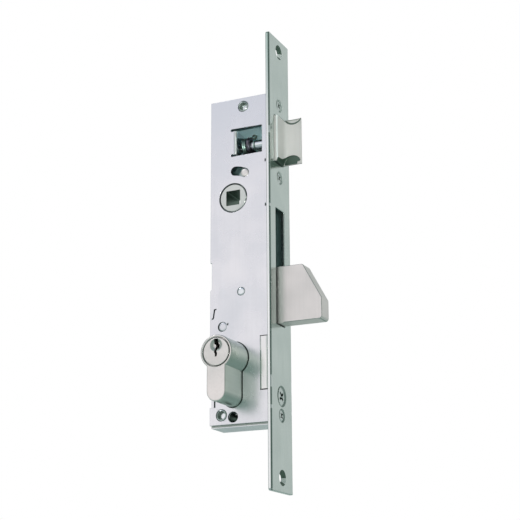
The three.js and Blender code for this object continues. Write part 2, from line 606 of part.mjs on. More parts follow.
place("forend", forend(), "forend");
place("case_tray", caseTray(), "zinc");
place("case_cover", caseCover(), "zinc");
for (const [name, at] of Object.entries(POSTS)) place(name, rivetPost(at), "steel");
place("bolt_pivot_pin", pivotPin(), "steel");
place("bolt_pivot_washer", pivotWasher(), "steel");
place("bolt_pivot_spacer", pivotSpacer(), "steel");
place("detent_post", detentPost(), "steel");
place("detent_spring", detentSpring(), "spring");
for (const [index, z] of DRIVER_GUIDES.entries()) {
  place(`driver_guide_stud_${index + 1}`, guideStud(z), "steel");
}
for (const [name, z] of Object.entries(SMALL_SCREWS)) {
  place(name, forendScrew(z, SMALL_SCREW.head, SMALL_SCREW.shank, SMALL_SCREW.length), "steel");
}
place("cylinder_fixing_screw",
  forendScrew(CYLINDER_SCREW.z, CYLINDER_SCREW.head, CYLINDER_SCREW.shank, CYLINDER_SCREW.length), "steel");
place("latch_head", latchHead(), "nickel");
place("latch_rod", latchRod(), "steel");
place("latch_rod_collar", rodCollar(), "dark");
place("latch_rod_clip", rodClip(), "spring");
place("latch_spring", latchSpring(), "spring");
place("follower", follower(), "nickel");
place("follower_stop_pin", stopPin(), "nickel");
place("swing_bolt", swingBolt(), "nickel");
place("bolt_drive_pin", boltDrivePin(), "steel");
place("driver_plate", driverPlate(), "dark");
place("cylinder_body", cylinderBody(), "nickel");
place("outer_plug", plug("outer"), "nickel");
place("inner_plug", plug("inner"), "nickel");
place("cam", cam(), "steel");
for (const { side, number, y } of pinStacks()) {
  place(`${side}_key_pin_${number}`, keyPin(y), "brass");
  place(`${side}_driver_pin_${number}`, driverPin(y), "steel");
}

export default lock;
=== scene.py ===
# Looks of a narrow-stile mortise lock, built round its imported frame.
# Helper sizes are in millimetres and are turned into metres when a mesh is made.
import math

import bmesh
import bpy
from mathutils import Matrix, Vector


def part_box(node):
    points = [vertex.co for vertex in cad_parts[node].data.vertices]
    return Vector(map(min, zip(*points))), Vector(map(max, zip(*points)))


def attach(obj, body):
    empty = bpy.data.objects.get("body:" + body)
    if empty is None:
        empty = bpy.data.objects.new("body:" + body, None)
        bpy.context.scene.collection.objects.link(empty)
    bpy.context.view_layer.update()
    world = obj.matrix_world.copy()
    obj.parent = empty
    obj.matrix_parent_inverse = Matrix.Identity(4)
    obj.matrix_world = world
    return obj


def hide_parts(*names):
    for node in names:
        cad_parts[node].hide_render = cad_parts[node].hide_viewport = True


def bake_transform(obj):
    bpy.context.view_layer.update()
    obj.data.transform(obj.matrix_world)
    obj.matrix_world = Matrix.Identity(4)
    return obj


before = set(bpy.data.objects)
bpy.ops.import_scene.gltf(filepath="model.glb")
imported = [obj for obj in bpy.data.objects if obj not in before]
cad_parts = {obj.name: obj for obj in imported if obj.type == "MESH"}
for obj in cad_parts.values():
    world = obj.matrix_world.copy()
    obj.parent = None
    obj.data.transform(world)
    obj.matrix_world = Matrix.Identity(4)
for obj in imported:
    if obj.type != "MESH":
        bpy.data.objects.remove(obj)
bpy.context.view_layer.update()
MM = 0.001


# ---------- sizes read from the frame ----------
def span(node, axis):
    """Lowest and highest coordinate of a CAD node along x, y or z, in millimetres."""
    low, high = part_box(node)
    index = "xyz".index(axis)
    return low[index] / MM, high[index] / MM


def middle(node, axis):
    """Mid-point of a CAD node along x, y or z, in millimetres."""
    return sum(span(node, axis)) / 2


FOREND_Z = span("forend", "z")
FOREND_HALF = span("forend", "y")[1]
FOREND_BACK = span("forend", "x")[0]
CASE_BACK, CASE_FRONT = span("case_cover", "x")
CASE_NEAR = -8.0  # the cover's flat face; only the lanced strip stands past it
COVER_Z = span("case_cover", "z")
AXIS_X = middle("outer_plug", "x")
CYLINDER_Z = middle("outer_plug", "z")
CYLINDER_HALF = span("cylinder_body", "y")[1]
LATCH_Z = middle("latch_head", "z")
PIVOT = (middle("bolt_pivot_pin", "x"), middle("bolt_pivot_pin", "z"))
DETENT_AT = (middle("detent_post", "x"), middle("detent_post", "z"))
POSTS = {n: (middle(n, "x"), middle(n, "z")) for n in ("top_post", "bottom_post")}
SMALL_SCREWS = ("forend_screw_top", "forend_screw_middle", "forend_screw_bottom")

# ---------- sizes that the pieces here share, in millimetres ----------
SHEET = 1.5
FOREND_EDGE_ROUNDING = 0.45
FOREND_EDGE_WIDTH = 1.1
FOREND_EDGE_DEPTH = 0.8
BOLT_OPENING = (-5.5, 5.1, -68.8, -7.6)
LOWER_HOLE = (AXIS_X, -114.4)
LOWER_HOLE_RADIUS = 2.7
POST_HOLE = 3.0
POST_RADIUS = 2.8
HUB_RADIUS = 7.4
HUB_HOLE = 7.95
SQUARE_HALF = 4
WINDOW_X = (-21.3, -6.4)
WINDOW_Z = (22.9, 37.9)
FLAP_BEND = 1.4
STRIP_X = (-8.1, -3.9)
STRIP_Z = (-101.6, -75.0)
ROD_RADIUS = 2.75
COLLAR_SET_BACK = 1.0
CYLINDER_RADIUS = 8.5
FOOT_HALF = 5.0
FOOT_DEPTH = 24.5
COUNTERBORE_DEPTH = 1.5
CLEAR = 1  # how far a cutting tool reaches past what it cuts


# ---------- outlines ----------
def arc(centre, radius, start, end, steps=24):
    """Points along a circle, from start to end degrees."""
    points = []
    for i in range(steps + 1):
        angle = math.radians(start + (end - start) * i / steps)
        points.append((centre[0] + radius * math.cos(angle), centre[1] + radius * math.sin(angle)))
    return points


def circle(centre, radius, steps=48):
    """A closed circle, without its first point repeated at the end."""
    return arc(centre, radius, 0, 360 - 360 / steps, steps - 1)


def rounded_box(low_a, high_a, low_b, high_b, radius, steps=6):
    """A rectangle with rounded corners."""
    corners = [(high_a - radius, high_b - radius, 0), (low_a + radius, high_b - radius, 90),
               (low_a + radius, low_b + radius, 180), (high_a - radius, low_b + radius, 270)]
    return [p for a, b, start in corners for p in arc((a, b), radius, start, start + 90, steps)]


def euro_outline(margin=0.0):
    """Round top and straight foot with a rounded end."""
    radius, half = CYLINDER_RADIUS + margin, FOOT_HALF + margin
    neck = math.degrees(math.acos(half / radius))
    foot = CYLINDER_Z - FOOT_DEPTH + FOOT_HALF
    return arc((AXIS_X, CYLINDER_Z), radius, -neck, 180 + neck, 56) + arc((AXIS_X, foot), half, 180, 360, 24)


def arc_slot_outline():
    """Kidney-shaped slot round the spindle."""
    orbit, half, first, last = 14.53, 2.45, 63.4, 85.4
    hub = (AXIS_X, 0)
    start = arc(hub, orbit, first, first, 1)[0]
    end = arc(hub, orbit, last, last, 1)[0]
    return (arc(hub, orbit + half, first, last, 10) + arc(end, half, last, last + 180, 14)
            + arc(hub, orbit - half, last, first, 10) + arc(start, half, first + 180, first + 360, 14))


# ---------- mesh tools ----------
WELD = 0.002
SHARP_ANGLE = 38
PLANES = {
    "yz": Matrix(((0, 0, 1), (1, 0, 0), (0, 1, 0))),   # outline in y and z, thickness along x
    "xz": Matrix(((1, 0, 0), (0, 0, -1), (0, 1, 0))),  # outline in x and z, thickness along y
    "xy": Matrix.Identity(3),                          # outline in x and y, thickness along z
}


def signed_area(loop):
    """Area inside a loop of points, negative where it runs clockwise."""
    return sum(a[0] * b[1] - b[0] * a[1] for a, b in zip(loop, loop[1:] + loop[:1])) / 2


def new_object(name, data):
    """An object in the scene for a mesh, curve, light or camera."""
    obj = bpy.data.objects.new(name, data)
    bpy.context.scene.collection.objects.link(obj)
    return obj


def built(name, mesh):
    """An object from a mesh that was built point by point, which is freed."""
    data = bpy.data.meshes.new(name)
    mesh.to_mesh(data)
    mesh.free()
    return new_object(name, data)


def baked(name, source):
    """A plain mesh object from an object with modifiers or a curve, which is removed."""
    bpy.context.view_layer.update()
    mesh = bpy.data.meshes.new_from_object(source.evaluated_get(bpy.context.evaluated_depsgraph_get()))
    data, kind = source.data, source.type
    bpy.data.objects.remove(source)
    (bpy.data.curves if kind == "CURVE" else bpy.data.meshes).remove(data)
    mesh.name = name
    return new_object(name, mesh)


def slab(name, plane, outline, holes, low, high, edge=0.15, rounds=2):
    """A plate with holes and rounded edges, from low to high along the plane's normal."""
    curve = bpy.data.curves.new(name, "CURVE")
    curve.dimensions, curve.fill_mode = "2D", "BOTH"
    for index, loop in enumerate([outline] + list(holes)):
        clockwise = signed_area(loop) < 0
        wanted = index == 0
        points = list(loop) if clockwise == wanted else list(reversed(loop))
        spline = curve.splines.new("POLY")
        spline.points.add(len(points) - 1)
        for point, (a, b) in zip(spline.points, points):
            point.co = (a * MM, b * MM, 0, 1)
        spline.use_cyclic_u = True
    curve.extrude = ((high - low) / 2 - edge) * MM
    curve.bevel_depth = edge * MM
    curve.bevel_resolution = rounds
    curve.offset = -edge * MM
    obj = baked(name, new_object(name, curve))
    turn = PLANES[plane].to_4x4()
    side = -1 if plane == "xz" else 1
    normal = turn @ Vector((0, 0, side))
    obj.data.transform(Matrix.Translation(normal * (high + low) / 2 * MM) @ turn)
    weld(obj)
    return obj


def weld(obj):
    """Joins points that lie on each other and turns all faces outwards."""
    mesh = bmesh.new()
    mesh.from_mesh(obj.data)
    bmesh.ops.remove_doubles(mesh, verts=mesh.verts, dist=WELD * MM)
    bmesh.ops.recalc_face_normals(mesh, faces=mesh.faces)
    mesh.to_mesh(obj.data)
    mesh.free()


def turned(name, axis, centre, profile, steps=64):
    """A lathe-turned solid. The profile's points are (distance along the axis, radius).

    A profile that starts and ends away from the axis is closed into a ring.
    """
    mesh = bmesh.new()
    along = {"x": Vector((1, 0, 0)), "y": Vector((0, 1, 0)), "z": Vector((0, 0, 1))}[axis]
    side = Vector((0, 0, 1)) if axis != "z" else Vector((1, 0, 0))
    other = along.cross(side)
    rings = []
    for distance, radius in profile:
        if radius == 0:
            rings.append([mesh.verts.new((Vector(centre) + along * distance) * MM)])
            continue
        points = []
        for i in range(steps):
            angle = 2 * math.pi * i / steps
            outwards = side * math.cos(angle) + other * math.sin(angle)
            points.append(mesh.verts.new((Vector(centre) + along * distance + outwards * radius) * MM))
        rings.append(points)
    closed = len(rings[0]) > 1 and len(rings[-1]) > 1
    pairs = list(zip(rings, rings[1:] + rings[:1])) if closed else list(zip(rings, rings[1:]))
    for first, second in pairs:
        for i in range(steps):
            j = (i + 1) % steps
            corners = [first[i % len(first)], first[j % len(first)],
                       second[j % len(second)], second[i % len(second)]]
            unique = list(dict.fromkeys(corners))
            if len(unique) > 2:
                mesh.faces.new(unique)
    bmesh.ops.recalc_face_normals(mesh, faces=mesh.faces)
    return built(name, mesh)


def rod(name, axis, centre, low, high, radius, edge=0.2, steps=64):
    """A round bar with rounded ends."""
    curve = edge * 0.3
    profile = [(low, 0), (low, radius - edge), (low + curve, radius - curve), (low + edge, radius),
               (high - edge, radius), (high - curve, radius - curve), (high, radius - edge), (high, 0)]
    return turned(name, axis, centre, profile, steps)


def ring(name, axis, centre, low, high, outer, inner, edge=0.12):
    """A washer or collar with its outer edges rounded."""
    return turned(name, axis, centre, [(low, inner), (low, outer - edge), (low + edge, outer),
                                       (high - edge, outer), (high, outer - edge), (high, inner)])


def brick(name, x, y, z):
    """A plain box from its lowest and highest x, y and z."""
    mesh = bmesh.new()
    bmesh.ops.create_cube(mesh, size=1)
    scale = [(b - a) * MM for a, b in (x, y, z)]
    centre = [(a + b) / 2 * MM for a, b in (x, y, z)]
    placed = Matrix.Translation(centre) @ Matrix.Diagonal((*scale, 1))
    bmesh.ops.transform(mesh, matrix=placed, verts=mesh.verts)
    return built(name, mesh)


def cut(obj, *tools):
    """Cuts the tools out of obj and removes them."""
    for tool in tools:
        modifier = obj.modifiers.new("cut", "BOOLEAN")
        modifier.operation, modifier.solver, modifier.object = "DIFFERENCE", "EXACT", tool
        name = obj.name
        obj = baked(name + "_", obj)
        obj.name = name
        bpy.data.objects.remove(tool)
    return obj


def soften(obj, width=0.12, segments=2, angle=40):
    """Rounds every sharp edge a little, so that it catches the light."""
    mesh = bmesh.new()
    mesh.from_mesh(obj.data)
    bmesh.ops.remove_doubles(mesh, verts=mesh.verts, dist=WELD * MM)
    bmesh.ops.dissolve_limit(mesh, angle_limit=math.radians(1), verts=mesh.verts, edges=mesh.edges)
    mesh.to_mesh(obj.data)
    mesh.free()
    bevel = obj.modifiers.new("soften", "BEVEL")
    bevel.width, bevel.segments = width * MM, segments
    bevel.limit_method, bevel.angle_limit = "ANGLE", math.radians(angle)
    bevel.use_clamp_overlap = True
    name = obj.name
    out = baked(name + "_", obj)
    out.name = name
    return out


def finish_piece(obj, body, material, node=None):
    """Shades a piece, gives it its material, puts it on its body and hides the CAD node it stands for."""
    mesh = obj.data
    mesh.shade_smooth()
    mesh.set_sharp_from_angle(angle=math.radians(SHARP_ANGLE))
    weighted = obj.modifiers.new("weighted", "WEIGHTED_NORMAL")
    weighted.keep_sharp = True
    mesh.materials.clear()
    mesh.materials.append(material)
    if body:
        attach(obj, body)
    if node:
        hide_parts(node)
    return obj


def paint(obj, material, chosen):
    """Gives another material to the faces that the test chooses from their centre, in mm, and normal."""
    obj.data.materials.append(material)
    index = len(obj.data.materials) - 1
    for face in obj.data.polygons:
        if chosen(face.center / MM, face.normal):
            face.material_index = index


def refined(node, body, material, width=0.15):
    """A copy of a CAD node with its edges rounded, standing for that node."""
    copy = new_object(node + "_fine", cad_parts[node].data.copy())
    copy = soften(copy, width)
    return finish_piece(copy, body, material, node)


# ---------- materials ----------
def shader(name, color, rough, metallic=1.0):
    """A new material, with its node tree and its shader for the callers to add to."""
    material = bpy.data.materials.new(name)
    material.use_nodes = True
    tree = material.node_tree
    bsdf = tree.nodes["Principled BSDF"]
    bsdf.inputs["Metallic"].default_value = metallic
    bsdf.inputs["Roughness"].default_value = rough
    bsdf.inputs["Base Color"].default_value = (*color, 1)
    return material, tree, bsdf


def noise(tree, scale, stretch=(1, 1, 1), detail=3.0, rough=0.5):
    """A noise pattern in object space, stretched along an axis where stretch is small."""
    place = tree.nodes.new("ShaderNodeTexCoord")
    mapping = tree.nodes.new("ShaderNodeMapping")
    mapping.inputs["Scale"].default_value = stretch
    tree.links.new(place.outputs["Object"], mapping.inputs["Vector"])
    pattern = tree.nodes.new("ShaderNodeTexNoise")
    pattern.inputs["Scale"].default_value = scale
    pattern.inputs["Detail"].default_value = detail
    pattern.inputs["Roughness"].default_value = rough
    tree.links.new(mapping.outputs["Vector"], pattern.inputs["Vector"])
    return pattern.outputs["Fac"]


def spread(tree, value, low, high, from_low=0.3, from_high=0.7):
    """A node's value, scaled to run from low to high and held there outside its own range."""
    node = tree.nodes.new("ShaderNodeMapRange")
    node.inputs["From Min"].default_value = from_low
    node.inputs["From Max"].default_value = from_high
    node.inputs["To Min"].default_value = low
    node.inputs["To Max"].default_value = high
    tree.links.new(value, node.inputs["Value"])
    return node.outputs["Result"]


def blend_colors(tree, factor, first, second):
    """A mix of two colours, each a fixed one or another node's output."""
    node = tree.nodes.new("ShaderNodeMix")
    node.data_type = "RGBA"
    tree.links.new(factor, node.inputs["Factor"])
    for socket, value in (("A", first), ("B", second)):
        target = [s for s in node.inputs if s.name == socket and s.type == "RGBA"][0]
        if isinstance(value, tuple):
            target.default_value = (*value, 1)
        else:
            tree.links.new(value, target)
    return [s for s in node.outputs if s.type == "RGBA"][0]


def bumps(tree, bsdf, *layers):
    """Bump from several (height, strength, distance in mm) layers."""
    normal = None
    for height, strength, distance in layers:
        node = tree.nodes.new("ShaderNodeBump")
        node.inputs["Strength"].default_value = strength
        node.inputs["Distance"].default_value = distance * MM
        tree.links.new(height, node.inputs["Height"])
        if normal is not None:
            tree.links.new(normal, node.inputs["Normal"])
        normal = node.outputs["Normal"]
    tree.links.new(normal, bsdf.inputs["Normal"])


CLOUDS = 55  # noise scales, from coarse to fine
BRUSH_LINES = 900
PITS = 2600
STREAK_SHADE = 0.82
SMOOTHER = 0.05  # how far the roughness strays either way
ROUGHER = 0.07


def brushed(name, color, tint, rough, brush, brush_strength=0.12, streaks=0.35, metallic=1.0):
    """Plated metal: cloudy colour, patchy roughness, fine brushing along one axis and small pits."""
    material, tree, bsdf = shader(name, color, rough, metallic)
    cloud = noise(tree, CLOUDS, detail=4)
    fine = noise(tree, BRUSH_LINES, brush, detail=2)
    pits = noise(tree, PITS, detail=1)
    mixed = blend_colors(tree, spread(tree, cloud, 0, 1), color, tint)
    darker = tuple(c * STREAK_SHADE for c in color)
    streak = blend_colors(tree, spread(tree, fine, 0, streaks), mixed, darker)
    tree.links.new(streak, bsdf.inputs["Base Color"])
    tree.links.new(spread(tree, cloud, rough - SMOOTHER, rough + ROUGHER), bsdf.inputs["Roughness"])
    bumps(tree, bsdf, (fine, brush_strength, 0.02), (pits, 0.1, 0.01))
    return material


def fade(material, vector, start, end, color):
    """Turns a material's colour into another one as the vector's upward part goes from start to end."""
    tree = material.node_tree
    bsdf = tree.nodes["Principled BSDF"]
    painted = bsdf.inputs["Base Color"].links[0].from_socket
    parts = tree.nodes.new("ShaderNodeSeparateXYZ")
    tree.links.new(vector, parts.inputs["Vector"])
    share = spread(tree, parts.outputs["Z"], 0, 1, start, end)
    tree.links.new(blend_colors(tree, share, painted, color), bsdf.inputs["Base Color"])


def fade_upwards(material, start, end, color):
    """Another colour past a height: the change runs from start, upwards or downwards, to end, in mm."""
    place = material.node_tree.nodes.new("ShaderNodeTexCoord")
    fade(material, place.outputs["Object"], start * MM, end * MM, color)


def fade_by_slope(material, start, end, color):
    """Another colour where the surface faces another way, by the upward part of its normal."""
    surface = material.node_tree.nodes.new("ShaderNodeNewGeometry")
    fade(material, surface.outputs["Normal"], start, end, color)


ALONG_X = (0.03, 1, 1)
ALONG_Y = (1, 0.03, 1)
ALONG_Z = (1, 1, 0.03)
NO_GRAIN = (1, 1, 1)

ZINC = brushed("zinc_sheet", (0.80, 0.80, 0.83), (0.76, 0.77, 0.81), 0.26, ALONG_Z, 0.03, 0.15)
# painted highlight: a lighter copy of the zinc for the lanced strip, which catches the light
ZINC_HIGHLIGHT = brushed("zinc_painted_highlight", (0.90, 0.89, 0.88), (0.86, 0.86, 0.86), 0.28, ALONG_Z, 0.03, 0.1)
ZINC_INSIDE_SHADED = brushed("zinc_inside_painted_shade", (0.58, 0.86, 0.88), (0.48, 0.76, 0.78), 0.45, ALONG_Z, 0.1, 0.3, 0.15)
FOREND = brushed("forend_satin", (0.68, 0.74, 0.71), (0.61, 0.68, 0.65), 0.20, ALONG_Z, 0.12)
# painted highlight: a lighter copy of the forend's colour for the plate's long sides
FOREND_SIDE_HIGHLIGHT = brushed("forend_side_painted_highlight", (0.86, 0.88, 0.88), (0.82, 0.84, 0.84), 0.22, ALONG_Z, 0.05, 0.1)
# painted shade: a dark copy of the forend's colour for its wide rounded edges and the bolt's near edges
EDGE_SHADE = brushed("edge_painted_shade", (0.30, 0.37, 0.34), (0.25, 0.32, 0.29), 0.28, ALONG_Z, 0.05, 0.1)
# painted light: a flat non-metal tone like the lit forend, laid in the small screws' sinks
SINK_LIT = brushed("sink_painted_light", (0.42, 0.48, 0.45), (0.38, 0.44, 0.41), 0.5, NO_GRAIN, 0.05, 0.2, 0.0)
# painted highlights: a white non-metal for glints
GLINT = brushed("painted_glint", (0.95, 0.97, 0.95), (0.90, 0.93, 0.90), 0.5, NO_GRAIN, 0.02, 0.1, 0.0)
# painted shade: a darker nickel for recesses, undersides and the tray's wall end
NICKEL_SHADE = brushed("nickel_painted_shade", (0.48, 0.53, 0.49), (0.42, 0.48, 0.44), 0.42, ALONG_X, 0.1)
# painted shade: the dark colour laid in holes, sinks, recesses and gaps and under things
SHADE = brushed("dark_painted_shade", (0.16, 0.22, 0.18), (0.10, 0.15, 0.12), 0.40, ALONG_Y, 0.1)
NICKEL = brushed("satin_nickel", (0.82, 0.785, 0.765), (0.77, 0.74, 0.72), 0.40, ALONG_Z, 0.08, 0.25)
HUB_NICKEL = brushed("hub_nickel", (0.69, 0.71, 0.68), (0.64, 0.67, 0.64), 0.40, ALONG_Z, 0.08, 0.25)
LATCH = brushed("latch_nickel", (0.80, 0.775, 0.745), (0.75, 0.73, 0.70), 0.48, ALONG_Z, 0.08, 0.25, 0.3)
CYLINDER = brushed("cylinder_nickel", (0.84, 0.80, 0.775), (0.78, 0.76, 0.735), 0.30, ALONG_Y, 0.14)
# painted light: a lighter, greener copy of the cylinder's nickel for its sides
CYLINDER_SIDE_LIGHT = brushed("cylinder_side_painted_light", (0.90, 0.95, 0.87), (0.84, 0.90, 0.82), 0.30, ALONG_Y, 0.14)
# dark brown for the gap round each plug: grime in the joint and painted shade
GRIME_AND_SHADE = brushed("dark_joint_and_painted_shade", (0.10, 0.08, 0.065), (0.06, 0.05, 0.04), 0.5, NO_GRAIN, 0.1)
FACE = brushed("plug_nickel", (0.83, 0.805, 0.78), (0.76, 0.74, 0.71), 0.33, NO_GRAIN, 0.16)
BRIGHT = brushed("bright_steel", (0.84, 0.87, 0.89), (0.76, 0.80, 0.83), 0.16, ALONG_Y, 0.05, 0.15)
SCREW = brushed("screw_steel", (0.70, 0.75, 0.73), (0.62, 0.68, 0.66), 0.24, NO_GRAIN, 0.1)
INNER = brushed("inner_steel", (0.46, 0.52, 0.51), (0.36, 0.44, 0.43), 0.38, ALONG_Z, 0.15)
SPRING = brushed("spring_wire", (0.52, 0.69, 0.61), (0.40, 0.57, 0.50), 0.28, NO_GRAIN, 0.1)
COLLAR = brushed("blackened_collar", (0.16, 0.14, 0.17), (0.10, 0.10, 0.12), 0.35, NO_GRAIN, 0.1)
BRASS = brushed("pin_brass", (0.74, 0.58, 0.30), (0.66, 0.50, 0.25), 0.30, ALONG_Z, 0.1)

# painted shade: from 30 to 95 mm up the sides' painted highlight fades to a darker green
fade_upwards(FOREND_SIDE_HIGHLIGHT, 30, 95, (0.44, 0.58, 0.51))
for low, high in ((-112.5, -110.7), (-102.0, -96.0), (-9.1, -7.6), (30.7, 34.6)):
    # painted highlights: the edge's painted shade turns bright between these heights
    fade_upwards(EDGE_SHADE, low, low + 0.4, (0.86, 0.88, 0.88))
    fade_upwards(EDGE_SHADE, high, high + 0.4, (0.28, 0.35, 0.32))
# painted shade: the cylinder's sides darken where they face downwards
fade_by_slope(CYLINDER_SIDE_LIGHT, 0.10, -0.50, (0.50, 0.62, 0.54))
# painted shade: the tray's inside darkens from 25 mm down to 21 mm, below the window
fade_upwards(ZINC_INSIDE_SHADED, 25, 21, (0.15, 0.25, 0.24))
# painted shade: from 0 to 60 mm up the zinc turns darker and bluer
fade_upwards(ZINC, 0, 60, (0.69, 0.71, 0.76))


# ---------- forend ----------
def cone(name, z, low, high, small, large):
    """A countersinking tool along x: its radius grows from small to large between low and high."""
    return turned(name, "x", (0, 0, z), [(low, 0), (low, small), (high, large), (high, 0)])


def make_forend():
    """The front plate, with a sink at each screw and a wide rounding on its long front edges."""
    low, high = FOREND_Z
    latch_low, latch_high = span("latch_head", "z")
    near, far = span("latch_head", "y")
    gap, near_gap = 0.3, 0.5
    latch_hole = rounded_box(near - near_gap, far + gap, latch_low - gap, latch_high + gap, 0.5)
    bolt_hole = rounded_box(*BOLT_OPENING, 0.6)
    screw_z = [middle(n, "z") for n in SMALL_SCREWS]
    cylinder_z = middle("cylinder_fixing_screw", "z")
    fixing_z = (high - 7.3, low + 7.2)
    fixing_radius, small_radius, cylinder_radius = 1.9, 1.95, 2.7
    holes = [latch_hole, bolt_hole]
    holes += [circle((0, z), fixing_radius) for z in fixing_z]
    holes += [circle((0, z), small_radius) for z in screw_z]
    holes += [circle((0, cylinder_z), cylinder_radius)]
    outline = rounded_box(-FOREND_HALF, FOREND_HALF, low, high, 1.2)
    plate = slab("forend_plate", "yz", outline, holes, FOREND_BACK, 0, FOREND_EDGE_ROUNDING, 3)
    cones = [cone("sink", z, -1.9, 0.35, 1.6, 4.4) for z in fixing_z]
    cones += [cone("sink", z, -2.2, 0.2, 1.6, 3.7) for z in screw_z]
    cones += [cone("sink", cylinder_z, -2.1, 0.2, cylinder_radius, 5.6)]
    plate = cut(plate, *cones)
    widen_long_edges(plate)
    forend = finish_piece(plate, "case", FOREND, "forend")
    paint_forend(forend, screw_z + [cylinder_z], fixing_z)


def widen_long_edges(plate):
    """Turns the small rounding of the front's two long edges into a wide one."""
    rounding, touch = FOREND_EDGE_ROUNDING, 0.01
    for vertex in plate.data.vertices:
        x, y = vertex.co.x / MM, vertex.co.y / MM
        inset = FOREND_HALF - abs(y)
        if inset < rounding + touch and x > -rounding - touch:
            vertex.co.x = x * FOREND_EDGE_DEPTH / rounding * MM
            vertex.co.y = math.copysign(FOREND_HALF - inset * FOREND_EDGE_WIDTH / rounding, y) * MM


def paint_forend(forend, screw_z, fixing_z):
    """Painted light and shade: highlights on the long sides and on one side of the two fixing holes, shade on
    the rounded edges and in the fixing holes' sinks, and a flat lit tone in the small screws' sinks.
    """
    rim = FOREND_HALF - FOREND_EDGE_WIDTH - 0.05
    sink, fixing_sink, reach = 5.5, 4.3, 5

    def slopes_in(at, normal):
        return 0.2 < normal.x < 0.95 and abs(at.y) < sink

    # painted highlight on the plate's long sides
    paint(forend, FOREND_SIDE_HIGHLIGHT, lambda at, normal: abs(at.y) > rim and abs(normal.y) > 0.9)
    # painted shade on the wide rounded long edges
    paint(forend, EDGE_SHADE, lambda at, normal: abs(at.y) > rim and 0.3 < normal.x < 0.99)
    for z in screw_z:
        # painted light in the small screws' sinks
        paint(forend, SINK_LIT, lambda at, normal: abs(at.z - z) < sink and slopes_in(at, normal))
    for z in fixing_z:
        # painted shade in the fixing holes' sinks
        paint(forend, SHADE, lambda at, normal: abs(at.z - z) < fixing_sink
              and abs(at.y) < reach and slopes_in(at, normal))
        # painted highlight on one side of each fixing hole's sink
        paint(forend, GLINT, lambda at, normal: -2.2 < at.z - z < 0.3
              and abs(at.y) < reach and normal.y < -0.45)


# ---------- case ----------
def shared_holes():
    """The cover's round holes and the cylinder's profile."""
    holes = [euro_outline(0.35), circle((AXIS_X, 0), HUB_HOLE, 64), circle(PIVOT, 2.15)]
    holes.append(circle(LOWER_HOLE, LOWER_HOLE_RADIUS))
    return holes + [circle(at, POST_HOLE) for at in POSTS.values()]


def cover_outline():
    """The cover's edge, with its shallow notches at the front and back."""
    back, front = CASE_BACK, CASE_FRONT
    low, high = COVER_Z
    return [(front, low), (front, -2), (front - 0.6, -1.4), (front - 0.6, 18.4), (front, 19), (front, high),
            (back, high), (back, -33.8), (back + 0.9, -33.8), (back + 0.9, -47.6), (back, -48.7),
            (back, -104.6), (back + 3.2, -104.6), (back + 3.2, -109), (back, -109), (back, low)]


def window_outline():
    """The opening that the flap is bent out of, with a relief slit at each corner of the bend."""
    (x0, x1), (z0, z1) = WINDOW_X, WINDOW_Z
    slit, reach = 1.1, 2.4
    end = slit / 2 + 0.15
    upper = [(x1, z1)] + arc((x0 - reach, z1 - slit / 2), end, 90, 270, 8) + [(x0 - FLAP_BEND, z1 - slit)]
    lower = [(x0 - FLAP_BEND, z0 + slit)] + arc((x0 - reach, z0 + slit / 2), end, 90, 270, 8) + [(x1, z0)]
    return upper + lower


def small_marks():
    """The slanted slit near the back edge, a nick beside the detent post and two marks at the front."""
    slanted_slit = [(-35.1, -63.8), (-34.0, -63.5), (-33.8, -62.9), (-33.2, -58.9), (-32.4, -58.7),
                    (-32.5, -58.2), (-33.8, -58.4), (-34.4, -62.9), (-35.0, -63.2)]
    nick = [(x + DETENT_AT[0], z + DETENT_AT[1]) for x, z in ((2.4, 0.6), (2.9, 0.5), (3.1, 1.7), (2.5, 1.6))]
    front_marks = [rounded_box(-4.9, -4.3, z - 0.8, z + 0.8, 0.2) for z in (18.0, -6.2)]
    return [slanted_slit, nick] + front_marks


def make_cover():
    """The near side plate, with its window, slots and marks."""
    post_hole = circle((DETENT_AT[0] - 0.3, DETENT_AT[1]), 2.5)
    holes = shared_holes() + [window_outline(), arc_slot_outline(), post_hole] + small_marks()
    inner = CASE_NEAR + SHEET
    plate = slab("cover_sheet", "xz", cover_outline(), holes, CASE_NEAR, inner, 0.14)
    half = 0.25
    middles = (STRIP_Z[0] - half, STRIP_Z[1] + half)
    through = (CASE_NEAR - CLEAR, inner + CLEAR)
    slits = [brick("slit", STRIP_X, through, (z - half, z + half)) for z in middles]
    finish_piece(cut(plate, *slits), "case", ZINC, "case_cover")
    make_flap()
    make_strip()


def make_tray():
    """The tray, duller inside, where the plating is thin, with painted shade that darkens its inside below
    the window, and a sheet of darker nickel as painted shade on the bent-over end of its bottom wall.
    """
    tray = refined("case_tray", "case", ZINC, 0.3)
    # the tray's inside faces get the duller zinc with its painted shade
    paint(tray, ZINC_INSIDE_SHADED, lambda at, normal: normal.y < -0.9 and at.y > 0)
    low = span("case_tray", "z")[0]
    near = span("case_tray", "y")[0]
    inset = 0.3
    # a thin sheet of darker nickel laid on the bottom wall's end as painted shade
    wall_end = brick("tray_end_shade", (CASE_BACK + inset, CASE_FRONT - inset), (near - 0.03, near + inset),
                     (low + inset, low + 1.45))
    finish_piece(wall_end, "case", NICKEL_SHADE, None)


